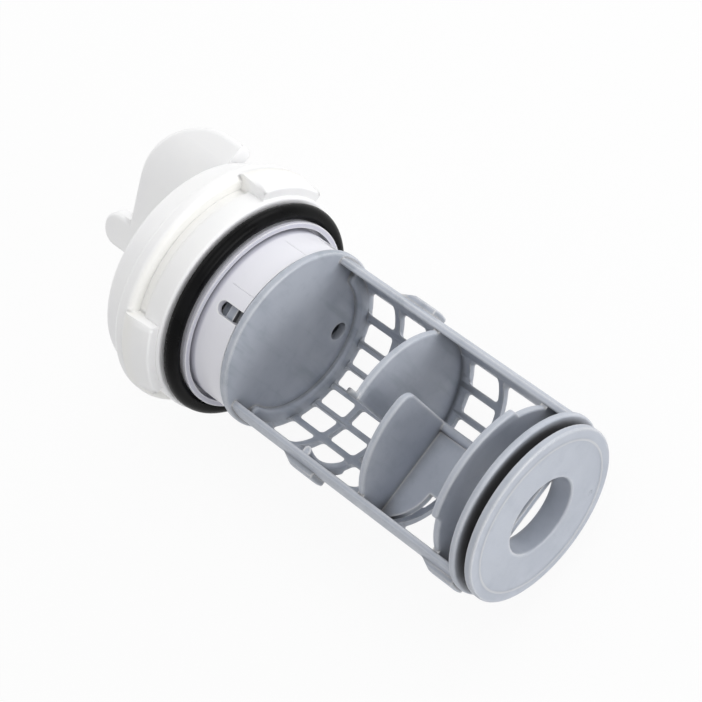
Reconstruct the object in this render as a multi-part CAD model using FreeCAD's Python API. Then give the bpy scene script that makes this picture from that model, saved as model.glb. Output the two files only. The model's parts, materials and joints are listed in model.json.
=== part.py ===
import FreeCAD, Part
import math
import os

# Washer pump filter, in millimetres. X runs along the axis from the cap to the outlet end, Z points out of
# the cage's open side, and X = 0 is the face of the cap's body that the seal ring sits against.
# Angles about the axis are measured from Y toward Z.

# Fits between the pieces
TURN_CLEARANCE = 0.35     # radial gap between the cap's snap skirt and the cage's neck
SNAP_PLAY = 0.3           # gap along the axis between the snap lip and the neck's bead
FACE_GAP = 0.5            # gap between the skirt's edge and the cage's bulkhead
SEAL_GAP = 0.05           # gap between the seal ring and its seat

# Cap: body, rim and crown
BODY_RADIUS = 29.2
BODY_LENGTH = 8.5
BODY_ROUND = 0.8
VALLEY_WIDTH = 2.8
VALLEY_DEPTH = 0.8
RIM_OVERHANG = 2.7        # beyond the body
RIM_THICKNESS = 4.5
RIM_ROUND = 1.7
CROWN_STEP = 2.3          # from the rim in to the foot of the crown
CROWN_TAPER = 1.0
CROWN_HEIGHT = 7.0
CROWN_ROUND = 2.5
CAP_WALL = 2.6

# Cap: bayonet lugs on the body
LUG_COUNT = 3
LUG_START_DEG = 6.0
LUG_SPAN_DEG = 39.0
LUG_SETBACK = 0.9
LUG_HEIGHT = 2.4
LUG_RISE = 0.9            # from its front edge back to the rim
LUG_CHAMFER = 0.6

# Cap: seal seat and snap skirt
SEAT_RADIUS = 24.65
SEAT_LIP_HEIGHT = 0.4
SEAT_LIP_WIDTH = 0.9
MOAT_WIDTH = 0.9          # between the seat and the snap skirt
MOAT_DEPTH = 2.6
SKIRT_RADIUS = 22.8
SKIRT_WALL = 1.75
SKIRT_LENGTH = 9.7
SNAP_LIP_WIDTH = 2.5
SNAP_LIP_HEIGHT = 1.25
SLOT_COUNT = 4
SLOT_WIDTH = 3.4
SLOT_LENGTH = 7.1
SLOT_DEG = 102.0

# Cap: S-shaped grip with a nub on its top edge
GRIP_HEIGHT = 29.3        # above the back of the rim
GRIP_THICKNESS = 5.0
GRIP_REACH = 29.5
GRIP_DEG = 38.0
GRIP_STRAIGHT = 12.7
GRIP_BEND = 23.0
GRIP_CORNER = 17.5
GRIP_ROUND = 1.5
NUB_WIDTH = 9.0
NUB_HEIGHT = 8.2
NUB_OFFSET = -3.8
NUB_ROUND = 1.2

# Seal ring
SEAL_SECTION = 3.8

# Cage: neck and bulkhead
NECK_WALL = 2.2
NECK_LEAD = 1.8
BEAD_WIDTH = 3.0
BEAD_CHAMFER = 0.7
BULKHEAD_RADIUS = 23.7
BULKHEAD_THICKNESS = 2.1
BULKHEAD_ROUND = 0.6
VENT_RADIUS = 2.35
VENT_Y = 7.8
VENT_Z = -11.1

# Cage: trough wall, rails and foot rib
CAGE_RADIUS = 22.7
CAGE_WALL = 1.6
RAIL_LEVEL = 7.3
RAIL_ROUND = 0.5
RIB_HEIGHT = 3.0
RIB_LEVEL = 0.0
RIB_ROUND = 1.0
RIB_END_ROUND = 2.0
SIDE_RIB_SETBACK = 22.3   # from the bulkhead to the rib on one side wall
SIDE_RIB_WIDTH = 2.0
SIDE_RIB_HEIGHT = 1.7
SIDE_RIB_LEVEL = -11.0
SIDE_RIB_ROUND = 0.9

# Cage: lattice of straight holes through the bottom of the trough
LATTICE_ROWS = 7
LATTICE_MARGIN = 1.0      # from the outermost holes to the bore of the wall
LATTICE_TOP = -5.0
HOLE_WIDTH = 4.4
HOLE_LENGTH = 8.9
HOLE_ROUND = 0.9
FIRST_BAR = 1.7
LATTICE_BAR = 1.6
LEADING_COLUMNS = 3
LAST_HOLE_SETBACK = 2.5   # from the first vane to the last column
LAST_HOLE_LENGTH = 9.2
LAST_BAR = 1.5

# Cage: two cross vanes
VANE_RADIUS = 21.0
VANE_THICKNESS = 1.8
VANE_ROUND = 0.6
VANE_SHIFT = 1.0          # a vane's round edge is centred beside the axis and below it
VANE_DROP = 2.5
VANE_SETBACK = 30.7       # from the bulkhead to the first vane
VANE_MARGIN = 0.1         # between the leading lattice and the first vane
VANE_SPACING = 9.5
FIRST_OVERLAP = 3.7       # how far a vane reaches past the middle plane
FIRST_TIP = 1.2
SECOND_OVERLAP = 4.7
SECOND_TIP = 3.5
EDGE_FLANGE_REACH = 2.0   # the first vane's straight edge is turned back toward the cap
EDGE_FLANGE_THICKNESS = 1.4
EDGE_FLANGE_ROUND = 0.5

# Cage: shelf behind the second vane
SHELF_LEVEL = -4.0
SHELF_THICKNESS = 2.0
SHELF_LENGTH = 7.4
SHELF_SWEEP = 12.0
SHELF_TONGUE = 10.5
SHELF_LIP_WIDTH = 2.2
SHELF_LIP_HEIGHT = 1.2
SHELF_LIP_ROUND = 1.0

# Cage: window, end plate and outlet end
WINDOW_LENGTH = 25.0
PLATE_RADIUS = 22.7
PLATE_GAP = 5.4           # between the end plate and the flange
PLATE_HALF_WIDTH = 14.2
PLATE_STEP = 2.0          # the plate's outline drops by this much beside the rails
PLATE_CORNER = 0.9
FLANGE_RADIUS = 23.4
FLANGE_WIDTH = 1.7
FLANGE_ROUND = 0.7
GROOVE_WIDTH = 2.2
GROOVE_DEPTH = 6.0
DISC_RADIUS = 22.5
DISC_WIDTH = 2.0
DISC_ROUND = 0.4
BEAD_LINE_RADIUS = 19.7   # the fine raised line round the end face
BEAD_LINE_WIDTH = 0.8
BEAD_LINE_HEIGHT = 0.4
END_WALL = 2.2
OUTLET_RADIUS = 9.9
OUTLET_ROUND = 0.5

# Cage: guide lugs outside the rails
GUIDE_LENGTH = 10.2
GUIDE_RAMP = 3.5
GUIDE_HEIGHT = 1.6
GUIDE_LOW = -3.0
GUIDE_HIGH = 3.5
GUIDE_SETBACK = 16.2      # from the bulkhead to the first pair
GUIDE_ROUND = 0.5

# Places along the axis
RIM_FRONT = -BODY_LENGTH
RIM_BACK = RIM_FRONT - RIM_THICKNESS
CROWN = RIM_BACK - CROWN_HEIGHT
GRIP_TOP = RIM_BACK - GRIP_HEIGHT
SEAT_END = SEAL_SECTION + 4 * SEAL_GAP
SKIRT_START = SEAT_END + SEAT_LIP_WIDTH
SKIRT_END = SKIRT_START + SKIRT_LENGTH
SNAP_LIP_START = SKIRT_END - SNAP_LIP_WIDTH
BEAD_FRONT = SNAP_LIP_START - SNAP_PLAY
BEAD_BACK = BEAD_FRONT - BEAD_WIDTH
BULKHEAD_BACK = SKIRT_END + FACE_GAP
BULKHEAD_FRONT = BULKHEAD_BACK + BULKHEAD_THICKNESS
LATTICE_START = BULKHEAD_FRONT + FIRST_BAR
COLUMN_PITCH = HOLE_LENGTH + LATTICE_BAR
FIRST_VANE = BULKHEAD_FRONT + VANE_SETBACK
LEADING_END = FIRST_VANE - VANE_MARGIN
SECOND_VANE = FIRST_VANE + VANE_SPACING
LAST_COLUMN = FIRST_VANE + VANE_THICKNESS + LAST_HOLE_SETBACK
LAST_COLUMN_END = LAST_COLUMN + LAST_HOLE_LENGTH
WALL_END = LAST_COLUMN_END + LAST_BAR
FLANGE_BACK = WALL_END + WINDOW_LENGTH
FLANGE_FRONT = FLANGE_BACK + FLANGE_WIDTH
PLATE_FRONT = FLANGE_BACK - PLATE_GAP
PLATE_BACK = PLATE_FRONT - VANE_THICKNESS
DISC_BACK = FLANGE_FRONT + GROOVE_WIDTH
END_FACE = DISC_BACK + DISC_WIDTH

# Radii that follow from others
RIM_RADIUS = BODY_RADIUS + RIM_OVERHANG
CROWN_FOOT = RIM_RADIUS - CROWN_STEP
CROWN_RADIUS = CROWN_FOOT - CROWN_TAPER
SKIRT_BORE = SKIRT_RADIUS - SKIRT_WALL
SNAP_LIP_BORE = SKIRT_BORE - SNAP_LIP_HEIGHT
BEAD_RADIUS = SKIRT_BORE - TURN_CLEARANCE
NECK_RADIUS = SNAP_LIP_BORE - TURN_CLEARANCE
SEAL_RADIUS = SEAT_RADIUS + SEAL_GAP + SEAL_SECTION / 2
CAGE_BORE = CAGE_RADIUS - CAGE_WALL
CAGE_MIDDLE = CAGE_RADIUS - CAGE_WALL / 2
GROOVE_RADIUS = DISC_RADIUS - GROOVE_DEPTH
LATTICE_HALF = CAGE_BORE - LATTICE_MARGIN
LATTICE_PITCH = (2 * LATTICE_HALF - HOLE_WIDTH) / (LATTICE_ROWS - 1)

ORIGIN = FreeCAD.Vector(0, 0, 0)
AXIS = FreeCAD.Vector(1, 0, 0)
FAR = 3 * RIM_RADIUS
TINY = 0.02


def revolved(points, degrees=360):
    """Turns a closed outline of (x, radius) points about the axis, starting at the Z direction."""
    corners = [FreeCAD.Vector(x, 0, radius) for x, radius in points]
    outline = Part.Face(Part.makePolygon(corners + corners[:1]))
    return outline.revolve(ORIGIN, AXIS, degrees)


def ring(start, end, bore, radius):
    """A plain ring, or a disc where the bore is zero, between two places on the axis."""
    foot = FreeCAD.Vector(start, 0, 0)
    disc = Part.makeCylinder(radius, end - start, foot, AXIS)
    if bore == 0:
        return disc
    return disc.cut(Part.makeCylinder(bore, end - start, foot, AXIS))


def block(x, y, z):
    """A box from three (low, high) pairs."""
    return Part.makeBox(x[1] - x[0], y[1] - y[0], z[1] - z[0], FreeCAD.Vector(x[0], y[0], z[0]))


def turned(shape, degrees):
    """A copy turned about the axis."""
    copy = shape.copy()
    copy.rotate(ORIGIN, AXIS, degrees)
    return copy


def rounded(shape, radius, wanted):
    """A copy with the wanted edges rounded."""
    return shape.makeFillet(radius, [edge for edge in shape.Edges if wanted(edge)])


def circle_at(*places):
    """A test for the circular edges at the given (x, radius) places."""
    def wanted(edge):
        if not isinstance(edge.Curve, Part.Circle):
            return False
        x = edge.Curve.Center.x
        radius = edge.Curve.Radius
        return any(abs(x - place[0]) < TINY and abs(radius - place[1]) < TINY for place in places)
    return wanted


def runs(edge):
    """The directions in which an edge has a length, as a word such as "x" or "yz"."""
    box = edge.BoundBox
    lengths = zip("xyz", (box.XLength, box.YLength, box.ZLength))
    return "".join(letter for letter, length in lengths if length > TINY)


def cap_shell():
    """The cap's round body with its crown, rim, seal seat and skirt, hollow toward the cage."""
    valley = BODY_RADIUS - VALLEY_DEPTH
    valley_end = RIM_FRONT + VALLEY_WIDTH
    lip = SEAT_RADIUS + SEAT_LIP_HEIGHT
    moat = SKIRT_RADIUS + MOAT_WIDTH
    moat_floor = SKIRT_START - MOAT_DEPTH
    outside = revolved([
        (CROWN, 0), (CROWN, CROWN_RADIUS), (RIM_BACK, CROWN_FOOT), (RIM_BACK, RIM_RADIUS),
        (RIM_FRONT, RIM_RADIUS), (RIM_FRONT, valley), (valley_end - VALLEY_DEPTH, valley),
        (valley_end, BODY_RADIUS), (0, BODY_RADIUS), (0, SEAT_RADIUS), (SEAT_END, SEAT_RADIUS),
        (SEAT_END, lip), (SKIRT_START, lip), (SKIRT_START, moat), (moat_floor, moat),
        (moat_floor, SKIRT_RADIUS), (SKIRT_END, SKIRT_RADIUS), (SKIRT_END, 0)])
    outside = rounded(outside, RIM_ROUND, circle_at((RIM_BACK, RIM_RADIUS), (RIM_FRONT, RIM_RADIUS)))
    outside = rounded(outside, CROWN_ROUND, circle_at((CROWN, CROWN_RADIUS)))
    outside = rounded(outside, BODY_ROUND, circle_at((0, BODY_RADIUS)))
    floor = CROWN + CAP_WALL
    hollow = revolved([
        (floor, 0), (floor, SKIRT_BORE), (SNAP_LIP_START, SKIRT_BORE), (SNAP_LIP_START, SNAP_LIP_BORE),
        (SKIRT_END, SNAP_LIP_BORE), (SKIRT_END, 0)])
    return outside.cut(hollow)


def skirt_slots():
    """The slots that free the skirt's snap fingers, round at their closed ends."""
    half = SLOT_WIDTH / 2
    centre = SKIRT_END - SLOT_LENGTH + half
    low = SNAP_LIP_BORE - SKIRT_WALL
    high = SKIRT_RADIUS + SKIRT_WALL
    slot = block((centre, SKIRT_END + half), (-half, half), (low, high))
    slot = slot.fuse(Part.makeCylinder(half, high - low, FreeCAD.Vector(centre, 0, low)))
    return [turned(slot, SLOT_DEG - 90 + k * 360 / SLOT_COUNT) for k in range(SLOT_COUNT)]


def bayonet_lugs():
    """The lugs on the cap's body that lock behind the mouth of the pump housing."""
    front = -LUG_SETBACK
    back = RIM_FRONT - RIM_THICKNESS / 2
    root = BODY_RADIUS - CAP_WALL
    top = BODY_RADIUS + LUG_HEIGHT
    lug = revolved([
        (front, root), (front, top - LUG_CHAMFER), (front - LUG_CHAMFER, top), (RIM_FRONT, top + LUG_RISE),
        (back, RIM_RADIUS - LUG_CHAMFER), (back, root)], LUG_SPAN_DEG)
    return [turned(lug, LUG_START_DEG - 90 + k * 360 / LUG_COUNT) for k in range(LUG_COUNT)]


def grip_side(offset):
    """Half of one long side of the S, from its middle to beyond its end, as edges across the axis."""
    angle = math.radians(GRIP_DEG)
    along = FreeCAD.Vector(0, math.cos(angle), math.sin(angle))
    across = FreeCAD.Vector(0, -math.sin(angle), math.cos(angle))
    middle = across * offset
    bend_start = middle + along * GRIP_STRAIGHT
    centre = along * GRIP_STRAIGHT - across * GRIP_BEND
    radius = GRIP_BEND + offset
    bend_middle = centre + FreeCAD.Vector(0, -math.sin(angle / 2), math.cos(angle / 2)) * radius
    bend_end = centre + FreeCAD.Vector(0, 0, radius)
    end = FreeCAD.Vector(0, GRIP_REACH + GRIP_THICKNESS, bend_end.z)
    return [Part.makeLine(middle, bend_start), Part.Arc(bend_start, bend_middle, bend_end).toShape(),
            Part.makeLine(bend_end, end)]


def is_grip_rim(edge, base):
    """Whether an edge runs along the border of one of the grip's two long faces, away from its foot."""
    box = edge.BoundBox
    if box.XMin > base - TINY or runs(edge) == "z":
        return False
    if runs(edge) == "x":
        return min(abs(box.YMin), abs(box.YMax)) > GRIP_REACH - TINY
    return True


def grip_blade():
    """The S-shaped blade across the cap's back, with two large round corners at its top."""
    half = GRIP_THICKNESS / 2
    upper = grip_side(half)
    lower = grip_side(-half)
    end = Part.makeLine(upper[-1].Vertexes[-1].Point, lower[-1].Vertexes[-1].Point)
    edges = upper + lower + [end]
    edges += [turned(edge, 180) for edge in edges]
    section = Part.Face(Part.Wire(Part.__sortEdges__(edges)))
    base = CROWN + CAP_WALL / 4
    section.translate(FreeCAD.Vector(base, 0, 0))
    blade = section.extrude(FreeCAD.Vector(GRIP_TOP - base, 0, 0)).removeSplitter()
    side = block((GRIP_TOP, base), (-GRIP_REACH, GRIP_REACH), (-FAR, FAR))
    at_top = GRIP_TOP + TINY
    side = rounded(side, GRIP_CORNER, lambda edge: runs(edge) == "z" and edge.BoundBox.XMax < at_top)
    blade = blade.common(side)
    return rounded(blade, GRIP_ROUND, lambda edge: is_grip_rim(edge, base))


def grip_nub():
    """The round-topped nub that stands on the grip beside its middle."""
    half_width = NUB_WIDTH / 2
    half = GRIP_THICKNESS / 2
    top = GRIP_TOP - NUB_HEIGHT
    nub = block((top, GRIP_TOP + GRIP_ROUND), (-half_width, half_width), (-half, half))
    nub = rounded(nub, half_width - TINY, lambda edge: runs(edge) == "z" and edge.BoundBox.XMax < top + TINY)
    nub = rounded(nub, NUB_ROUND, lambda edge: edge.BoundBox.XMin < GRIP_TOP and runs(edge) != "z")
    nub.translate(FreeCAD.Vector(0, NUB_OFFSET, 0))
    return turned(nub, GRIP_DEG)


def screw_cap():
    """The cap as one moulding."""
    shell = cap_shell().cut(skirt_slots())
    return shell.fuse(bayonet_lugs() + [grip_blade(), grip_nub()]).removeSplitter()


def seal_ring():
    """The rubber seal ring on its seat."""
    centre = FreeCAD.Vector(SEAT_END / 2, 0, 0)
    return Part.makeTorus(SEAL_RADIUS, SEAL_SECTION / 2, centre, AXIS)


def neck():
    """The cage's hollow neck with the bead that the cap's skirt snaps over."""
    start = BEAD_BACK - NECK_LEAD
    end = BULKHEAD_BACK + BULKHEAD_THICKNESS / 2
    bore = NECK_RADIUS - NECK_WALL
    return revolved([
        (start, bore), (start, NECK_RADIUS), (BEAD_BACK, NECK_RADIUS),
        (BEAD_BACK + BEAD_CHAMFER, BEAD_RADIUS), (BEAD_FRONT, BEAD_RADIUS), (BEAD_FRONT, NECK_RADIUS),
        (end, NECK_RADIUS), (end, bore)])


def bulkhead():
    """The round wall between the neck and the trough, with its small vent."""
    wall = ring(BULKHEAD_BACK, BULKHEAD_FRONT, 0, BULKHEAD_RADIUS)
    wall = rounded(wall, BULKHEAD_ROUND, circle_at((BULKHEAD_BACK, BULKHEAD_RADIUS),
                                                   (BULKHEAD_FRONT, BULKHEAD_RADIUS)))
    start = FreeCAD.Vector(BULKHEAD_BACK, VENT_Y, VENT_Z)
    return wall.cut(Part.makeCylinder(VENT_RADIUS, BULKHEAD_THICKNESS, start, AXIS))


def lattice_holes(start, end):
    """The holes of one lattice column, drawn straight down through the bottom of the trough."""
    holes = []
    for row in range(LATTICE_ROWS):
        low = row * LATTICE_PITCH - LATTICE_HALF
        hole = block((start, end), (low, low + HOLE_WIDTH), (-FAR, LATTICE_TOP))
        holes.append(rounded(hole, HOLE_ROUND, lambda edge: runs(edge) == "z"))
    return holes


def trough():
    """The cage's round wall, open between its rails, with the lattice and the window below the outlet."""
    start = BULKHEAD_BACK + BULKHEAD_THICKNESS / 2
    end = FLANGE_BACK + FLANGE_WIDTH / 2
    wall = ring(start, end, CAGE_BORE, CAGE_RADIUS)
    wall = wall.cut(block((start, end), (-FAR, FAR), (RAIL_LEVEL, FAR)))
    at_rail = RAIL_LEVEL - TINY
    wall = rounded(wall, RAIL_ROUND, lambda edge: runs(edge) == "x" and edge.BoundBox.ZMin > at_rail)
    starts = [LATTICE_START + k * COLUMN_PITCH for k in range(LEADING_COLUMNS)]
    columns = [(start, min(start + HOLE_LENGTH, LEADING_END)) for start in starts]
    columns.append((LAST_COLUMN, LAST_COLUMN_END))
    holes = [hole for start, end in columns for hole in lattice_holes(start, end)]
    window = block((WALL_END, FLANGE_BACK), (-LATTICE_HALF, LATTICE_HALF), (-FAR, LATTICE_TOP))
    window = rounded(window, HOLE_ROUND, lambda edge: runs(edge) == "z")
    return wall.cut(holes + [window])


def foot_rib():
    """The low rib along the bottom of the trough at the foot of the bulkhead."""
    start = BULKHEAD_FRONT - BULKHEAD_ROUND
    end = LATTICE_START - TINY
    crest = CAGE_BORE - RIB_HEIGHT
    whole = ring(start, end, crest, CAGE_MIDDLE)
    rib = whole.common(block((start, end), (-FAR, FAR), (-FAR, RIB_LEVEL)))

    def is_end(edge):
        box = edge.BoundBox
        return runs(edge) == "x" and box.ZMin > RIB_LEVEL - TINY and abs(box.YMin) < CAGE_BORE

    rib = rounded(rib, RIB_END_ROUND, is_end)

    def is_front(edge):
        box = edge.BoundBox
        reach = max(math.hypot(corner.Y, corner.Z) for corner in edge.Vertexes)
        return box.XMin > end - TINY and reach < CAGE_BORE

    return rounded(rib, RIB_ROUND, is_front)


def side_rib():
    """The short round rib that stands on one side wall, from under the rail down to the lattice."""
    start = BULKHEAD_FRONT + SIDE_RIB_SETBACK
    end = start + SIDE_RIB_WIDTH
    crest = CAGE_BORE - SIDE_RIB_HEIGHT
    rib = ring(start, end, crest, CAGE_MIDDLE)
    rib = rounded(rib, SIDE_RIB_ROUND, circle_at((start, crest), (end, crest)))
    return rib.common(block((start, end), (-FAR, 0), (SIDE_RIB_LEVEL, RAIL_LEVEL - RAIL_ROUND)))


def vane_disc(back, front, side):
    """The disc that gives a vane its round edge, on one side of the trough (side is 1 or -1)."""
    disc = ring(back, front, 0, VANE_RADIUS)
    disc.translate(FreeCAD.Vector(0, side * VANE_SHIFT, -VANE_DROP))
    return disc


def vane(back, side, overlap, tip, low):
    """A cross vane on one side of the trough, from a level up to its round top edge."""
    front = back + VANE_THICKNESS
    straight = -side * overlap
    half = block((back, front), sorted((straight, side * FAR)), (low, FAR))
    plate = vane_disc(back, front, side).common(half)

    def is_tip(edge):
        box = edge.BoundBox
        return runs(edge) == "x" and abs(box.YMin - straight) < TINY and box.ZMin > RAIL_LEVEL

    def is_rim(edge):
        box = edge.BoundBox
        upright = runs(edge) == "z" and abs(box.YMin - straight) < TINY
        return upright or ("x" not in runs(edge) and "z" in runs(edge) and box.ZMax > RAIL_LEVEL)

    plate = rounded(plate, tip, is_tip)
    plate = rounded(plate, VANE_ROUND, is_rim).common(ring(back, front, 0, CAGE_MIDDLE))
    root = ring(back, front, VANE_RADIUS - VANE_THICKNESS, CAGE_MIDDLE)
    below_rail = block((back, front), (-FAR, FAR), (low, RAIL_LEVEL - RAIL_ROUND))
    return plate.fuse(root.common(half).common(below_rail))


def edge_flange():
    """The flange along the first vane's straight edge, turned back toward the cap."""
    back = FIRST_VANE - EDGE_FLANGE_REACH
    front = FIRST_VANE + VANE_THICKNESS
    edge_y = -FIRST_OVERLAP
    strip = block((back, front), (edge_y, edge_y + EDGE_FLANGE_THICKNESS), (-FAR, FAR))
    strip = rounded(strip, EDGE_FLANGE_ROUND, lambda edge: runs(edge) == "z")
    return strip.common(vane_disc(back, front, 1)).common(ring(back, front, 0, CAGE_MIDDLE))


def shelf():
    """The shelf behind the second vane: a swept edge, a tongue to the outlet end and a lip on one side."""
    bottom = SHELF_LEVEL - SHELF_THICKNESS
    level = (bottom, SHELF_LEVEL)
    end = FLANGE_BACK + FLANGE_WIDTH / 2
    tongue = block((SECOND_VANE, end), (-SHELF_TONGUE, SECOND_OVERLAP), level)
    before_flange = block((PLATE_BACK, end), (-SHELF_TONGUE, SHELF_TONGUE), level)
    sweep_x = SECOND_VANE + VANE_THICKNESS + SHELF_LENGTH - SHELF_SWEEP
    centre = FreeCAD.Vector(sweep_x, -SHELF_TONGUE, bottom)
    sweep = Part.makeCylinder(SHELF_SWEEP, SHELF_THICKNESS, centre)
    sweep = sweep.common(block((SECOND_VANE, end), (-FAR, 0), level))
    crest = SHELF_LEVEL + SHELF_LIP_HEIGHT
    lip_y = (SECOND_OVERLAP - SHELF_LIP_WIDTH, SECOND_OVERLAP)
    lip = block((SECOND_VANE, PLATE_FRONT), lip_y, (bottom, crest))
    lip = rounded(lip, SHELF_LIP_ROUND, lambda edge: runs(edge) == "x" and edge.BoundBox.ZMin > crest - TINY)
    plate = tongue.fuse([before_flange, sweep, lip]).common(ring(SECOND_VANE, end, 0, CAGE_MIDDLE))
    return plate.cut(ring(FLANGE_BACK, end, 0, OUTLET_RADIUS))


def end_plate():
    """The upright plate before the outlet end, standing on the shelf and stepped down beside the rails."""
    low = SHELF_LEVEL - SHELF_THICKNESS
    shoulder = PLATE_RADIUS - PLATE_STEP
    middle = block((PLATE_BACK, PLATE_FRONT), (-PLATE_HALF_WIDTH, PLATE_HALF_WIDTH), (low, FAR))
    plate = ring(PLATE_BACK, PLATE_FRONT, 0, PLATE_RADIUS).common(middle)
    wide = block((PLATE_BACK, PLATE_FRONT), (-FAR, FAR), (low, FAR))
    plate = plate.fuse(ring(PLATE_BACK, PLATE_FRONT, 0, shoulder).common(wide)).removeSplitter()

    def is_corner(edge):
        box = edge.BoundBox
        return runs(edge) == "x" and abs(abs(box.YMin) - PLATE_HALF_WIDTH) < TINY and box.ZMin > RAIL_LEVEL

    def is_rim(edge):
        return "x" not in runs(edge) and "z" in runs(edge) and edge.BoundBox.ZMax > RAIL_LEVEL

    plate = rounded(plate, PLATE_CORNER, is_corner)
    plate = rounded(plate, VANE_ROUND, is_rim)
    root = ring(PLATE_BACK, PLATE_FRONT, shoulder - VANE_THICKNESS, CAGE_MIDDLE)
    below_rail = block((PLATE_BACK, PLATE_FRONT), (-FAR, FAR), (low, RAIL_LEVEL - RAIL_ROUND))
    return plate.fuse(root.common(below_rail))


def outlet_end():
    """The end flange, the groove, the end disc and the outlet, hollow toward the cage."""
    body = revolved([
        (FLANGE_BACK, OUTLET_RADIUS), (FLANGE_BACK, FLANGE_RADIUS), (FLANGE_FRONT, FLANGE_RADIUS),
        (FLANGE_FRONT, GROOVE_RADIUS), (DISC_BACK, GROOVE_RADIUS), (DISC_BACK, DISC_RADIUS),
        (END_FACE, DISC_RADIUS), (END_FACE, OUTLET_RADIUS)])
    body = rounded(body, FLANGE_ROUND, circle_at((FLANGE_BACK, FLANGE_RADIUS),
                                                 (FLANGE_FRONT, FLANGE_RADIUS)))
    body = rounded(body, DISC_ROUND, circle_at((DISC_BACK, DISC_RADIUS), (END_FACE, DISC_RADIUS)))
    body = rounded(body, OUTLET_ROUND, circle_at((END_FACE, OUTLET_RADIUS)))
    hollow_end = END_FACE - END_WALL
    body = body.cut(ring(FLANGE_BACK, hollow_end, OUTLET_RADIUS + END_WALL, GROOVE_RADIUS - END_WALL))
    half = BEAD_LINE_WIDTH / 2
    line = revolved([
        (END_FACE - half, BEAD_LINE_RADIUS - half), (END_FACE, BEAD_LINE_RADIUS - half),
        (END_FACE + BEAD_LINE_HEIGHT, BEAD_LINE_RADIUS), (END_FACE, BEAD_LINE_RADIUS + half),
        (END_FACE - half, BEAD_LINE_RADIUS + half)])
    return body.fuse(line)


def guide_lug(start, side):
    """One guide lug on the outside of a rail, ramped toward the cap (side is 1 or -1)."""
    end = start + GUIDE_LENGTH
    top = CAGE_RADIUS + GUIDE_HEIGHT
    lug = revolved([
        (start, CAGE_MIDDLE), (start, CAGE_RADIUS), (start + GUIDE_RAMP, top), (end, top),
        (end, CAGE_MIDDLE)])
    lug = lug.common(block((start, end), sorted((0, side * FAR)), (GUIDE_LOW, GUIDE_HIGH)))

    def on_top(edge):
        radii = [math.hypot(corner.Y, corner.Z) for corner in edge.Vertexes]
        return min(radii) > top - TINY and edge.BoundBox.XMax > end - TINY

    return rounded(lug, GUIDE_ROUND, on_top)


def filter_cage():
    """The cage as one moulding."""
    pieces = [neck(), bulkhead(), foot_rib(), side_rib(), shelf(), end_plate(), outlet_end()]
    pieces.append(vane(FIRST_VANE, 1, FIRST_OVERLAP, FIRST_TIP, -FAR))
    pieces.append(edge_flange())
    pieces.append(vane(SECOND_VANE, -1, SECOND_OVERLAP, SECOND_TIP, SHELF_LEVEL - SHELF_THICKNESS))
    first_guide = BULKHEAD_FRONT + GUIDE_SETBACK
    pieces.append(guide_lug(first_guide, 1))
    pieces.append(guide_lug(first_guide, -1))
    pieces.append(guide_lug(FLANGE_BACK - GUIDE_LENGTH, -1))
    return trough().fuse(pieces).removeSplitter()


os.makedirs("parts", exist_ok=True)
for name, shape in (("screw_cap", screw_cap()), ("seal_ring", seal_ring()), ("filter_cage", filter_cage())):
    box = shape.BoundBox
    sides = [round(value, 2) for value in (box.XMin, box.XMax, box.YMin, box.YMax, box.ZMin, box.ZMax)]
    print(name, "solids", len(shape.Solids), "valid", shape.isValid(), "volume", round(shape.Volume), sides)
    shape.exportStep("parts/" + name + ".step")
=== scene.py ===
"""Looks of a washer pump filter: a white bayonet cap, its black seal ring and a blue-grey filter cage."""

from __future__ import annotations

import json
import logging
import math
from dataclasses import dataclass
from enum import Enum

import bmesh
import bpy
from mathutils import Matrix, Vector

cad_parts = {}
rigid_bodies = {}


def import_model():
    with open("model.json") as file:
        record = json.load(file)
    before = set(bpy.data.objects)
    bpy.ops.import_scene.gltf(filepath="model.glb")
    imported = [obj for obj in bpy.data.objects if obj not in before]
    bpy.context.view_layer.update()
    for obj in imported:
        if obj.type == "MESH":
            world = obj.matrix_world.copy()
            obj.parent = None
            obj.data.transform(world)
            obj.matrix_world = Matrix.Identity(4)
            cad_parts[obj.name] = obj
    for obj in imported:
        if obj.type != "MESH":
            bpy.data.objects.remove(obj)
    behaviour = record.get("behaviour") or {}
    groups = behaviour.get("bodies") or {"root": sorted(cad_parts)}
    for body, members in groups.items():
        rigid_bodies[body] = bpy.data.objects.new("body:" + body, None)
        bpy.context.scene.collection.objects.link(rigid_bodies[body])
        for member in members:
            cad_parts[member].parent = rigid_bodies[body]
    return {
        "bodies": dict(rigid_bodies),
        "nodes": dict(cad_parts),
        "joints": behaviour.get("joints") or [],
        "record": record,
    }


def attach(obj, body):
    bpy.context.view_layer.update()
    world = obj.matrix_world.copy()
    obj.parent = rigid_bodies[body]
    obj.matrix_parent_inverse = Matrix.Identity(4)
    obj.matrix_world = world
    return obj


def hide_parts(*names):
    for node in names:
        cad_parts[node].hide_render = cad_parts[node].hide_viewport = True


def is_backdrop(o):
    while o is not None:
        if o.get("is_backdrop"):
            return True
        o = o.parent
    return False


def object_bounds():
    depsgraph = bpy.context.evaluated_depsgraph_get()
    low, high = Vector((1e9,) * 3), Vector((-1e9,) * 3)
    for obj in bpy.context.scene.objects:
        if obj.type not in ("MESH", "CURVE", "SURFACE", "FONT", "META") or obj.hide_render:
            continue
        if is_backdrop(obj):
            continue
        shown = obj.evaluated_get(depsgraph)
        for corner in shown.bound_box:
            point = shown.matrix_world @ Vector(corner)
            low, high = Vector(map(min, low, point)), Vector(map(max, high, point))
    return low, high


LOG = logging.getLogger("washer_pump_filter")
MM = 0.001
WHITE = (1.0, 1.0, 1.0, 1.0)

# Places of the colour sockets among the Mix node's inputs and outputs, where several share a name.
MIX_SHARE, MIX_FIRST, MIX_SECOND, MIX_RESULT = 0, 6, 7, 2

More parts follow.
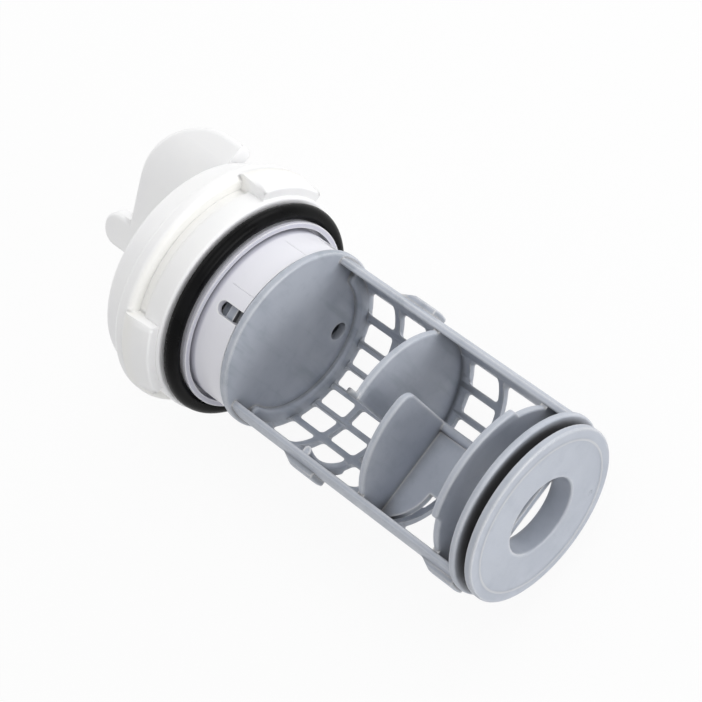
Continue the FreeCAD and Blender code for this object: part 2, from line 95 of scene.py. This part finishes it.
Colour = tuple[float, float, float]
Triple = tuple[float, float, float]
Span = tuple[float, float]
Socket = bpy.types.NodeSocket


class Node(Enum):
    """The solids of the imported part."""

    CAP = "screw_cap"
    SEAL = "seal_ring"
    CAGE = "filter_cage"


class Body(Enum):
    """The rigid bodies that the pieces ride on."""

    CAP = "cap"
    CAGE = "cage"


class Slot(Enum):
    """The material slots of the record."""

    CAP = "cap"
    SEAL = "seal"
    CAGE = "cage"


@dataclass(frozen=True)
class Clouds:
    """A cloudy pattern: clouds per metre, finer layers, their strength, and the span of it that shows."""

    scale: float
    layers: float = 2.0
    strength: float = 0.5
    span: Span = (0.0, 1.0)


class NodeGraph:
    """A small builder for a material's or the world's nodes."""

    def __init__(self, tree: bpy.types.NodeTree) -> None:
        """Starts from an empty tree."""
        self.tree = tree
        tree.nodes.clear()

    def add(self, kind: str, **values: object) -> bpy.types.Node:
        """Adds a node and sets its properties and inputs by name.

        Args:
            kind: the node's type name.
            **values: properties of the node, or inputs written with underscores for spaces.

        Returns:
            The new node.
        """
        node = self.tree.nodes.new(kind)
        for key, value in values.items():
            if hasattr(node, key):
                setattr(node, key, value)
            else:
                self.feed(value, node.inputs[key.replace("_", " ")])
        return node

    def feed(self, source: object, target: Socket) -> None:
        """Links a socket to an input, or sets the input to a plain value.

        Args:
            source: an output socket, a number, a vector or a colour.
            target: the input.
        """
        if isinstance(source, bpy.types.NodeSocket):
            self.tree.links.new(source, target)
        else:
            target.default_value = source

    def number(self, operation: str, first: object, second: object = 0.0) -> Socket:
        """Works out one number from two.

        Args:
            operation: the name of the Math node's operation.
            first: a socket or a number.
            second: a socket or a number.

        Returns:
            The result's socket.
        """
        node = self.add("ShaderNodeMath", operation=operation)
        self.feed(first, node.inputs[0])
        self.feed(second, node.inputs[1])
        return node.outputs[0]

    def measure(self, operation: str, first: object, second: object) -> Socket:
        """Works out one number from two vectors.

        Args:
            operation: the name of the Vector Math node's operation.
            first: a socket or a vector.
            second: a socket or a vector.

        Returns:
            The result's socket.
        """
        node = self.add("ShaderNodeVectorMath", operation=operation)
        self.feed(first, node.inputs[0])
        self.feed(second, node.inputs[1])
        return node.outputs["Value"]

    def ranged(self, value: Socket, span: Span, to_low: float, to_high: float) -> Socket:
        """Maps a number smoothly from a span to a new one and holds it there.

        Args:
            value: the number.
            span: the start and the end of its span.
            to_low: the result at the start.
            to_high: the result at the end.

        Returns:
            The result's socket.
        """
        low, high = span
        node = self.add("ShaderNodeMapRange", interpolation_type="SMOOTHSTEP")
        self.feed(value, node.inputs["Value"])
        for name, number in (("From Min", low), ("From Max", high), ("To Min", to_low), ("To Max", to_high)):
            node.inputs[name].default_value = number
        return node.outputs["Result"]

    def noise(self, place: Socket, clouds: Clouds) -> Socket:
        """Adds cloudy noise.

        Args:
            place: the coordinates that it reads.
            clouds: the pattern.

        Returns:
            A socket from 0 to 1, mostly near a half.
        """
        node = self.add("ShaderNodeTexNoise", Vector=place, Scale=clouds.scale, Detail=clouds.layers,
                        Roughness=clouds.strength)
        return node.outputs["Fac"]

    def patches(self, place: Socket, clouds: Clouds, share: float = 1.0) -> Socket:
        """Turns cloudy noise into patches, from 0 between them to the given share inside."""
        return self.ranged(self.noise(place, clouds), clouds.span, 0.0, share)

    def axes(self, place: Socket) -> bpy.types.NodeOutputs:
        """Splits coordinates into the sockets X, Y and Z."""
        return self.add("ShaderNodeSeparateXYZ", Vector=place).outputs

    def stretched(self, place: Socket, scale: Triple) -> Socket:
        """Scales the coordinates by axis, so that a pattern is drawn out along one of them."""
        return self.add("ShaderNodeMapping", Vector=place, Scale=scale).outputs["Vector"]

    def blend(self, share: Socket, first: object, second: object) -> Socket:
        """Mixes two colours.

        Args:
            share: how much of the second, from 0 to 1.
            first: a colour or a socket.
            second: a colour or a socket.

        Returns:
            The mixed colour's socket.
        """
        node = self.add("ShaderNodeMix", data_type="RGBA")
        self.feed(share, node.inputs[MIX_SHARE])
        for source, place in ((first, MIX_FIRST), (second, MIX_SECOND)):
            self.feed((*source, 1.0) if isinstance(source, tuple) else source, node.inputs[place])
        return node.outputs[MIX_RESULT]

    def surface(self, kind: str, shader: Socket) -> None:
        """Ends the tree in an output node of the given kind, which shows the shader."""
        output = self.add(kind)
        self.feed(shader, output.inputs["Surface"])

    def mixed(self, share: Socket, first: bpy.types.Node, second: bpy.types.Node) -> Socket:
        """Mixes two shaders.

        Args:
            share: how much of the second, from 0 to 1.
            first: a shader's node.
            second: a shader's node.

        Returns:
            The mixed shader's socket.
        """
        mix = self.add("ShaderNodeMixShader")
        for source, target in zip((share, first.outputs[0], second.outputs[0]), mix.inputs):
            self.feed(source, target)
        return mix.outputs[0]


@dataclass(frozen=True)
class Finish:
    """A surface finish with a colour and an uneven gloss."""

    name: str
    colour: Colour
    roughness_low: float
    roughness_high: float

    def material(self) -> bpy.types.Material:
        """Builds the material.

        Returns:
            The new material.
        """
        made = bpy.data.materials.new(self.name)
        made.use_nodes = True
        graph = NodeGraph(made.node_tree)
        place = graph.add("ShaderNodeTexCoord").outputs["Object"]
        graph.surface("ShaderNodeOutputMaterial", self.shader(graph, place))
        return made

    def shader(self, graph: NodeGraph, place: Socket) -> Socket:
        """Builds the finish's shader and gives its socket."""
        raise NotImplementedError


@dataclass(frozen=True)
class MouldedPlastic(Finish):
    """Moulded polypropylene: flow clouds, a fine spark grain, uneven gloss, a painted highlight along the
    edges and painted shade in narrow crevices and inner corners.
    """

    cloud_colour: Colour
    # painted highlight: the lighter colour along the edges
    edge_highlight_colour: Colour
    # painted shade: the dark colour in crevices and inner corners
    crevice_shade_colour: Colour
    clouds: Clouds = Clouds(scale=60.0, layers=4.0, strength=0.6, span=(0.35, 0.7))
    grain: Clouds = Clouds(scale=1900.0, strength=0.6)
    grain_depth: float = 0.006 * MM
    dull_patches: Clouds = Clouds(scale=140.0)
    gloss_span: Span = (0.35, 0.65)
    waves: Clouds = Clouds(scale=140.0, layers=1.0)
    wave_depth: float = 0.03 * MM
    edge_round: float = 0.25 * MM
    # painted highlight along the edges: its reach, its share and the span of the normals' likeness over which
    # it fades
    edge_highlight_width: float = 0.8 * MM
    edge_highlight_share: float = 0.9
    edge_samples: int = 4
    likeness_span: Span = (0.8, 0.995)
    # painted shade in crevices: the occlusion's reach, the shade's share, its samples and the openness over
    # which it fades
    crevice_shade_reach: float = 6.0 * MM
    crevice_shade_share: float = 0.9
    crevice_shade_samples: int = 8
    openness_span: Span = (0.2, 0.8)
    scatter: float = 0.1
    scatter_tint: Triple = (1.0, 1.0, 1.0)
    scatter_depth: float = 1.2 * MM
    refraction: float = 1.49

    def shader(self, graph: NodeGraph, place: Socket) -> Socket:
        """Builds the plastic's shader.

        Args:
            graph: the material's nodes.
            place: the coordinates on the piece.

        Returns:
            The shader's socket.
        """
        grain = graph.noise(place, self.grain)
        shader = graph.add("ShaderNodeBsdfPrincipled", IOR=self.refraction, Subsurface_Weight=self.scatter,
                           Subsurface_Radius=self.scatter_tint, Subsurface_Scale=self.scatter_depth)
        # colour with a painted highlight along the edges, then painted shade in the crevices
        highlighted_colour = self.edge_highlighted(graph, place, self.ground(graph, place))
        graph.feed(graph.blend(self.crevice_shade(graph, place), highlighted_colour, self.crevice_shade_colour), shader.inputs["Base Color"])
        gloss = graph.ranged(self.unevenness(graph, place, grain), self.gloss_span, self.roughness_low,
                             self.roughness_high)
        graph.feed(gloss, shader.inputs["Roughness"])
        bump = graph.add("ShaderNodeBump", Strength=1.0, Distance=1.0,
                         Height=self.relief(graph, place, grain), Normal=self.rounded(graph, self.edge_round))
        graph.feed(bump.outputs["Normal"], shader.inputs["Normal"])
        return shader.outputs["BSDF"]

    def rounded(self, graph: NodeGraph, radius: float) -> Socket:
        """Gives the normal of the surface with its edges rounded."""
        return graph.add("ShaderNodeBevel", samples=self.edge_samples, Radius=radius).outputs["Normal"]

    def ground(self, graph: NodeGraph, place: Socket) -> Socket:
        """Clouds the plastic's colour."""
        return graph.blend(graph.patches(place, self.clouds), self.colour, self.cloud_colour)

    def edge_highlighted(self, graph: NodeGraph, place: Socket, colour: Socket) -> Socket:
        """Paints a highlight along the plastic's edges, lightening them where the rounded normal leaves the
        plain one.

        Args:
            graph: the material's nodes.
            place: the coordinates on the piece; not used.
            colour: the colour away from the edges.

        Returns:
            The colour's socket.
        """
        plain = graph.add("ShaderNodeNewGeometry").outputs["Normal"]
        likeness = graph.measure("DOT_PRODUCT", self.rounded(graph, self.edge_highlight_width), plain)
        # painted highlight: lighter where the rounded normal leaves the plain one
        edge_highlight = graph.ranged(likeness, self.likeness_span, self.edge_highlight_share, 0.0)
        return graph.blend(edge_highlight, colour, self.edge_highlight_colour)

    def crevice_shade(self, graph: NodeGraph, place: Socket) -> Socket:
        """Finds the narrow crevices and inner corners by their ambient occlusion, where painted shade darkens
        the plastic.

        Args:
            graph: the material's nodes.
            place: the coordinates on the piece; not used.

        Returns:
            The painted shade's share, from 0 to 1.
        """
        # painted shade: darker where the ambient occlusion finds little openness
        openness = graph.add("ShaderNodeAmbientOcclusion", samples=self.crevice_shade_samples, only_local=True,
                             Distance=self.crevice_shade_reach)
        return graph.ranged(openness.outputs["AO"], self.openness_span, self.crevice_shade_share, 0.0)

    def unevenness(self, graph: NodeGraph, place: Socket, grain: Socket) -> Socket:
        """Takes the mean of the fine grain and of broader patches for the gloss."""
        total = graph.number("ADD", graph.noise(place, self.dull_patches), grain)
        return graph.number("MULTIPLY", total, 1 / 2)

    def relief(self, graph: NodeGraph, place: Socket, grain: Socket) -> Socket:
        """Adds up the heights, in metres, of the surface's grain and waves."""
        wave = graph.number("MULTIPLY", graph.noise(place, self.waves), self.wave_depth)
        return graph.number("ADD", wave, graph.number("MULTIPLY", grain, self.grain_depth))


@dataclass(frozen=True)
class CapPlastic(MouldedPlastic):
    """The cap's white plastic with painted shade along the axis: warmer and slightly darker in the valley
    behind the rim, cool lavender-grey on the skirt, darker on the collar beside the seal; with the mould's
    parting lines.
    """

    # painted shade: a warmer, slightly darker tone in the valley behind the rim
    valley_shade_colour: Colour = (0.885, 0.88, 0.855)
    valley_shade_rise: Span = (-9.8 * MM, -8.8 * MM)
    valley_shade_fall: Span = (-8.8 * MM, -4.5 * MM)
    # painted shade: a cool lavender-grey on the skirt
    skirt_shade_colour: Colour = (0.81, 0.81, 0.86)
    skirt_shade_rise: Span = (-1.0 * MM, 2.0 * MM)
    # painted shade: a darker lavender-grey on the collar beside the seal
    collar_shade_colour: Colour = (0.56, 0.56, 0.635)
    collar_shade_rise: Span = (3.0 * MM, 4.0 * MM)
    collar_shade_fall: Span = (5.2 * MM, 6.2 * MM)
    seam_angles: tuple[float, ...] = (44.0, 87.0, -136.0)
    seam_start: float = 7.4 * MM
    seam_radius: float = 22.8 * MM
    seam_width: float = 0.35 * MM
    seam_height: float = 0.10 * MM

    def band(self, graph: NodeGraph, along: Socket, rise: Span, fall: Span) -> Socket:
        """Marks a band along the axis.

        Args:
            graph: the material's nodes.
            along: the place along the axis.
            rise: where the band starts and where it is full.
            fall: where it begins to fade and where it ends.

        Returns:
            A socket that is 1 in the band and 0 away from it.
        """
        start = graph.ranged(along, rise, 0.0, 1.0)
        end = graph.ranged(along, fall, 1.0, 0.0)
        return graph.number("MULTIPLY", start, end)

    def ground(self, graph: NodeGraph, place: Socket) -> Socket:
        """Paints shade onto the clouded white along the axis: in the valley behind the rim, on the skirt and,
        darker, on the collar.

        Args:
            graph: the material's nodes.
            place: the coordinates on the piece.

        Returns:
            The colour's socket.
        """
        along = graph.axes(place)["X"]
        # painted shade in the valley behind the rim, warmer and slightly darker
        valley_shade = self.band(graph, along, self.valley_shade_rise, self.valley_shade_fall)
        white = graph.blend(valley_shade, super().ground(graph, place), self.valley_shade_colour)
        # painted shade on the skirt, cool lavender-grey
        skirt_shaded = graph.blend(graph.ranged(along, self.skirt_shade_rise, 0.0, 1.0), white, self.skirt_shade_colour)
        # darker painted shade on the collar beside the seal
        collar = self.band(graph, along, self.collar_shade_rise, self.collar_shade_fall)
        return graph.blend(collar, skirt_shaded, self.collar_shade_colour)

    def crevice_shade(self, graph: NodeGraph, place: Socket) -> Socket:
        """Keeps the painted crevice shade to the seal's seat, the skirt and the inside."""
        inner = graph.ranged(graph.axes(place)["X"], self.skirt_shade_rise, 0.0, 1.0)
        return graph.number("MULTIPLY", super().crevice_shade(graph, place), inner)

    def relief(self, graph: NodeGraph, place: Socket, grain: Socket) -> Socket:
        """Adds the raised parting lines on the snap skirt.

        Args:
            graph: the material's nodes.
            place: the coordinates on the piece.
            grain: the fine grain.

        Returns:
            The height's socket, in metres.
        """
        height = super().relief(graph, place, grain)
        axes = graph.axes(place)
        angle = graph.number("ARCTAN2", axes["Z"], axes["Y"])
        skirt_rise = (self.seam_start, self.seam_start + self.seam_width)
        on_skirt = graph.ranged(axes["X"], skirt_rise, 0.0, self.seam_height)
        half_angle = self.seam_width / 2 / self.seam_radius
        for seam_angle in self.seam_angles:
            away = graph.number("ABSOLUTE", graph.number("SUBTRACT", angle, math.radians(seam_angle)))
            seam = graph.number("MULTIPLY", graph.ranged(away, (0.0, half_angle), 1.0, 0.0), on_skirt)
            height = graph.number("ADD", height, seam)
        return height


@dataclass(frozen=True)
class CagePlastic(MouldedPlastic):
    """The cage's blue-grey plastic: blotches, streaks down the walls and a gate mark on the end face."""

    blotch_colour: Colour = (0.345, 0.375, 0.435)
    blotches: Clouds = Clouds(scale=230.0, layers=3.0, strength=0.6, span=(0.5, 0.75))
    blotch_share: float = 0.45
    streak_colour: Colour = (0.30, 0.335, 0.385)
    streaks: Clouds = Clouds(scale=260.0, layers=3.0, strength=0.55, span=(0.48, 0.72))
    streak_stretch: Triple = (1.0, 1.0, 0.16)
    streak_share: float = 0.75
    streak_fade: Span = (30.0 * MM, 80.0 * MM)
    streak_left: float = 0.2
    # painted highlight along the edges, weaker lower down on the lattice
    upper_highlight_rise: Span = (-12.0 * MM, -4.0 * MM)
    lattice_highlight: float = 0.3
    # painted highlight on the raised bead round the end face
    bead_highlight_place: float = 93.82 * MM
    bead_highlight_height: float = 0.25 * MM
    bead_highlight_share: float = 0.35
    gate_place: Triple = (93.8 * MM, 11.1 * MM, -13.3 * MM)
    gate_radius: float = 0.9 * MM
    gate_core: float = 0.27 * MM
    gate_depth: float = 0.25 * MM

    def ground(self, graph: NodeGraph, place: Socket) -> Socket:
        """Blotches the clouded blue-grey and draws streaks on it, fewer toward the outlet.

        Args:
            graph: the material's nodes.
            place: the coordinates on the piece.

        Returns:
            The colour's socket.
        """
        blotch = graph.patches(place, self.blotches, self.blotch_share)
        mottled = graph.blend(blotch, super().ground(graph, place), self.blotch_colour)
        drawn = graph.stretched(place, self.streak_stretch)
        fade = graph.ranged(graph.axes(place)["X"], self.streak_fade, 1.0, self.streak_left)
        streak = graph.number("MULTIPLY", graph.patches(drawn, self.streaks, self.streak_share), fade)
        return graph.blend(streak, mottled, self.streak_colour)

    def edge_highlighted(self, graph: NodeGraph, place: Socket, colour: Socket) -> Socket:
        """Paints highlights: lighter edges, full on the open side and only a little on the lattice lower
        down, and a lighter raised bead round the end face.

        Args:
            graph: the material's nodes.
            place: the coordinates on the piece.
            colour: the colour away from the edges.

        Returns:
            The colour's socket.
        """
        axes = graph.axes(place)
        # painted highlight along the edges, weaker lower down on the lattice
        upper_highlight = graph.ranged(axes["Z"], self.upper_highlight_rise, self.lattice_highlight, 1.0)
        highlighted = graph.blend(upper_highlight, colour, super().edge_highlighted(graph, place, colour))
        # the raised bead round the end face painted lighter as its highlight
        bead_highlight_rise = (self.bead_highlight_place, self.bead_highlight_place + self.bead_highlight_height)
        line = graph.ranged(axes["X"], bead_highlight_rise, 0.0, self.bead_highlight_share)
        return graph.blend(line, highlighted, self.edge_highlight_colour)

    def relief(self, graph: NodeGraph, place: Socket, grain: Socket) -> Socket:
        """Adds the small sunken gate mark on the end face.

        Args:
            graph: the material's nodes.
            place: the coordinates on the piece.
            grain: the fine grain.

        Returns:
            The height's socket, in metres.
        """
        away = graph.measure("DISTANCE", place, self.gate_place)
        gate = graph.ranged(away, (self.gate_core, self.gate_radius), -self.gate_depth, 0.0)
        return graph.number("ADD", super().relief(graph, place, grain), gate)


@dataclass(frozen=True)
class SealRubber(Finish):
    """Black rubber with a soft sheen, a faint bloom and a fine flash line round its outside."""

    bloom_colour: Colour
    specular: float = 0.07
    bloom: Clouds = Clouds(scale=120.0, layers=4.0, strength=0.6, span=(0.4, 0.7))
    gloss_span: Span = (0.35, 0.65)
    grain: Clouds = Clouds(scale=2600.0)
    grain_depth: float = 0.006 * MM
    flash_place: float = 2.0 * MM
    flash_width: float = 0.16 * MM
    flash_height: float = 0.05 * MM

    def shader(self, graph: NodeGraph, place: Socket) -> Socket:
        """Builds the rubber's shader.

        Args:
            graph: the material's nodes.
            place: the coordinates on the piece.

        Returns:
            The shader's socket.
        """
        bloom = graph.noise(place, self.bloom)
        shader = graph.add("ShaderNodeBsdfPrincipled", Specular_IOR_Level=self.specular)
        tone = graph.blend(graph.ranged(bloom, self.bloom.span, 0.0, 1.0), self.colour, self.bloom_colour)
        graph.feed(tone, shader.inputs["Base Color"])
        gloss = graph.ranged(bloom, self.gloss_span, self.roughness_low, self.roughness_high)
        graph.feed(gloss, shader.inputs["Roughness"])
        bump = graph.add("ShaderNodeBump", Strength=1.0, Distance=1.0, Height=self.relief(graph, place))
        graph.feed(bump.outputs["Normal"], shader.inputs["Normal"])
        return shader.outputs["BSDF"]

    def relief(self, graph: NodeGraph, place: Socket) -> Socket:
        """Adds up the heights of the rubber's grain and of its flash line.

        Args:
            graph: the material's nodes.
            place: the coordinates on the piece.

        Returns:
            The height's socket, in metres.
        """
        grain = graph.number("MULTIPLY", graph.noise(place, self.grain), self.grain_depth)
        away = graph.number("ABSOLUTE", graph.number("SUBTRACT", graph.axes(place)["X"], self.flash_place))
        flash = graph.ranged(away, (0.0, self.flash_width / 2), self.flash_height, 0.0)
        return graph.number("ADD", grain, flash)


@dataclass
class Moulding:
    """A solid of the part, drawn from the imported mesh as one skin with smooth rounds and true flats."""

    piece_name: str
    node: Node
    body: Body
    slot: Slot
    finish: Finish
    crease_deg: float = 32.0
    flat_deg: float = 0.2
    merge_distance: float = 0.002 * MM

    def build(self, frame: dict) -> bpy.types.Object:
        """Copies the solid's mesh, smooths it, dresses it and puts it in the solid's place.

        Args:
            frame: the loaded frame.

        Returns:
            The new piece.
        """
        mesh = self.skin(frame["nodes"][self.node.value].data)
        piece = bpy.data.objects.new(self.piece_name, mesh)
        bpy.context.scene.collection.objects.link(piece)
        self.even_out(piece)
        mesh.materials.append(self.finish.material())
        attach(piece, self.body.value)
        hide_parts(self.node.value)
        return piece

    def skin(self, source: bpy.types.Mesh) -> bpy.types.Mesh:
        """Merges the solid's loose triangles into one skin, with each flat in one face.

        Args:
            source: the solid's mesh.

        Returns:
            A new mesh, smooth apart from its creases.
        """
        skin = bmesh.new()
        skin.from_mesh(source)
        bmesh.ops.remove_doubles(skin, verts=skin.verts, dist=self.merge_distance)
        bmesh.ops.dissolve_limit(skin, angle_limit=math.radians(self.flat_deg), use_dissolve_boundaries=False,
                                 verts=skin.verts, edges=skin.edges)
        for face in skin.faces:
            face.smooth = True
        mesh = bpy.data.meshes.new(self.piece_name)
        skin.to_mesh(mesh)
        skin.free()
        mesh.set_sharp_from_angle(angle=math.radians(self.crease_deg))
        return mesh

    def even_out(self, piece: bpy.types.Object) -> None:
        """Lets the large flats hold their own shading beside the rounds.

        Args:
            piece: the piece to shade.
        """
        weighted = piece.modifiers.new("even_flats", "WEIGHTED_NORMAL")
        weighted.mode = "FACE_AREA"
        weighted.keep_sharp = True


@dataclass
class ScrewCap(Moulding):
    """The white cap: grip, crown, rim, body with its lugs, seal seat and snap skirt."""

    piece_name: str = "white_cap"
    node: Node = Node.CAP
    body: Body = Body.CAP
    slot: Slot = Slot.CAP
    # the lighter colour along the edges is a faint painted highlight and the dark colour in the crevices is
    # painted shade
    finish: Finish = CapPlastic(
        name="white_moulded_cap", colour=(0.89, 0.89, 0.89), cloud_colour=(0.865, 0.865, 0.875),
        edge_highlight_colour=(0.91, 0.91, 0.91), crevice_shade_colour=(0.30, 0.30, 0.33), roughness_low=0.30,
        roughness_high=0.42, clouds=Clouds(scale=45.0, layers=4.0, strength=0.6, span=(0.35, 0.7)),
        grain=Clouds(scale=2200.0, strength=0.6), scatter=0.2, crevice_shade_share=0.4)


@dataclass
class SealRing(Moulding):
    """The black seal ring on the cap's seat."""

    piece_name: str = "black_seal"
    node: Node = Node.SEAL
    body: Body = Body.CAP
    slot: Slot = Slot.SEAL
    finish: Finish = SealRubber(
        name="black_seal_rubber", colour=(0.002, 0.002, 0.0022), bloom_colour=(0.005, 0.005, 0.0055),
        roughness_low=0.24, roughness_high=0.38)

    def even_out(self, piece: bpy.types.Object) -> None:
        """Leaves the ring as it is, for it has no flats."""


@dataclass
class FilterCage(Moulding):
    """The blue-grey cage: neck, bulkhead, trough with its lattice, vanes, shelf, end plate and outlet end."""

    piece_name: str = "grey_cage"
    node: Node = Node.CAGE
    body: Body = Body.CAGE
    slot: Slot = Slot.CAGE
    # the pale colour along the edges is a painted highlight and the near-black colour in the crevices is
    # painted shade
    finish: Finish = CagePlastic(
        name="blue_grey_moulded_cage", colour=(0.44, 0.47, 0.53), cloud_colour=(0.395, 0.425, 0.485),
        edge_highlight_colour=(0.82, 0.81, 0.80), crevice_shade_colour=(0.065, 0.060, 0.058), roughness_low=0.36,
        roughness_high=0.50, edge_highlight_width=1.1 * MM)


@dataclass(frozen=True)
class Softbox:
    """A soft square lamp: the direction to it from the part's middle, and its power in watts."""

    name: str
    direction: Triple
    power: float
    size: float = 0.5
    distance: float = 0.9

    def hang(self, middle: Vector) -> None:
        """Hangs the lamp so that it faces the part.

        Args:
            middle: the part's middle.
        """
        towards = Vector(self.direction)
        light = bpy.data.lights.new(self.name, "AREA")
        light.size = self.size
        light.energy = self.power
        lamp = bpy.data.objects.new(self.name, light)
        lamp.location = middle + towards.normalized() * self.distance
        lamp.rotation_mode = "QUATERNION"
        lamp.rotation_quaternion = towards.to_track_quat("Z", "Y")
        bpy.context.scene.collection.objects.link(lamp)


@dataclass(frozen=True)
class Studio:
    """The pale floor, the soft lights, the white surroundings and the camera."""

    floor_reach: float = 3.0
    floor_drop: float = 0.2 * MM
    floor_white: float = 0.9
    floor_matt: Colour = (0.9, 0.9, 0.9)
    ambient: float = 0.62
    lamps: tuple[Softbox, ...] = (
        Softbox("front_softbox", direction=(0.95, 0.30, 0.05), power=3.9),
        Softbox("top_softbox", direction=(0.30, 0.35, 1.0), power=1.7),
        Softbox("side_softbox", direction=(0.0, 0.95, 0.35), power=2.0),
        Softbox("back_softbox", direction=(-0.90, 0.10, 0.35), power=1.0),
    )
    camera_place: Triple = (302.1 * MM, -15.5 * MM, 456.4 * MM)
    camera_right: Triple = (0.6986, 0.6003, -0.3894)
    camera_up: Triple = (-0.5, 0.7988, 0.3344)
    lens_mm: float = 117.4
    sensor_mm: float = 36.0
    clip_near: float = 0.01
    clip_far: float = 50.0

    def build(self, low: Vector, high: Vector) -> None:
        """Sets the stage round the part.

        Args:
            low: the part's lowest corner.
            high: the part's highest corner.
        """
        middle = (low + high) / 2
        self.floor(Vector((middle.x, middle.y, low.z - self.floor_drop)))
        self.surroundings()
        for lamp in self.lamps:
            lamp.hang(middle)
        self.camera()

    def floor(self, centre: Vector) -> None:
        """Lays the floor just under the part.

        Args:
            centre: the floor's middle.
        """
        sheet = bmesh.new()
        bmesh.ops.create_grid(sheet, x_segments=1, y_segments=1, size=self.floor_reach)
        bmesh.ops.translate(sheet, verts=sheet.verts, vec=centre)
        mesh = bpy.data.meshes.new("pale_floor")
        sheet.to_mesh(mesh)
        sheet.free()
        mesh.materials.append(self.floor_material())
        floor = bpy.data.objects.new("pale_floor", mesh)
        bpy.context.scene.collection.objects.link(floor)
        floor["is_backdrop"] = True

    def seen_rays(self, graph: NodeGraph) -> Socket:
        """Adds up the rays that show the surroundings as white.

        Args:
            graph: the node graph to add to.

        Returns:
            A socket that is 1 on camera, glossy and transmission rays.
        """
        path = graph.add("ShaderNodeLightPath").outputs
        seen = graph.number("MAXIMUM", path["Is Camera Ray"], path["Is Glossy Ray"])
        return graph.number("MAXIMUM", seen, path["Is Transmission Ray"])

    def floor_material(self) -> bpy.types.Material:
        """Makes the floor near white where it is seen, with a trace of the part's shadow.

        Returns:
            The floor's material.
        """
        made = bpy.data.materials.new("pale_floor")
        made.use_nodes = True
        graph = NodeGraph(made.node_tree)
        matt = graph.add("ShaderNodeBsdfDiffuse", Color=(*self.floor_matt, 1.0))
        glow = graph.add("ShaderNodeEmission", Color=WHITE, Strength=1.0)
        share = graph.number("MULTIPLY", self.seen_rays(graph), self.floor_white)
        graph.surface("ShaderNodeOutputMaterial", graph.mixed(share, matt, glow))
        return made

    def surroundings(self) -> None:
        """Lights the part evenly from all round and shows white behind it."""
        world = bpy.data.worlds.new("white_studio")
        world.use_nodes = True
        bpy.context.scene.world = world
        graph = NodeGraph(world.node_tree)
        even = graph.add("ShaderNodeBackground", Color=WHITE, Strength=self.ambient)
        white = graph.add("ShaderNodeBackground", Color=WHITE, Strength=1.0)
        graph.surface("ShaderNodeOutputWorld", graph.mixed(self.seen_rays(graph), even, white))

    def camera(self) -> None:
        """Sets the camera at the photograph's viewing angle."""
        lens = bpy.data.cameras.new("camera")
        lens.lens = self.lens_mm
        lens.sensor_width = self.sensor_mm
        lens.clip_start = self.clip_near
        lens.clip_end = self.clip_far
        camera = bpy.data.objects.new("camera", lens)
        right, up = Vector(self.camera_right), Vector(self.camera_up)
        turn = Matrix((right, up, right.cross(up))).transposed()
        camera.matrix_world = Matrix.Translation(self.camera_place) @ turn.to_4x4()
        bpy.context.scene.collection.objects.link(camera)
        bpy.context.scene.camera = camera


def main() -> None:
    """Loads the part, dresses it and sets the stage."""
    logging.basicConfig(level=logging.INFO)
    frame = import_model()
    cad_low, cad_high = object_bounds()
    bpy.context.scene.view_settings.view_transform = "Standard"
    for moulding in (ScrewCap(), SealRing(), FilterCage()):
        piece = moulding.build(frame)
        LOG.info("%s: %d faces on body %s", piece.name, len(piece.data.polygons), moulding.body.value)
    Studio().build(cad_low, cad_high)


if __name__ == "__main__":
    main()
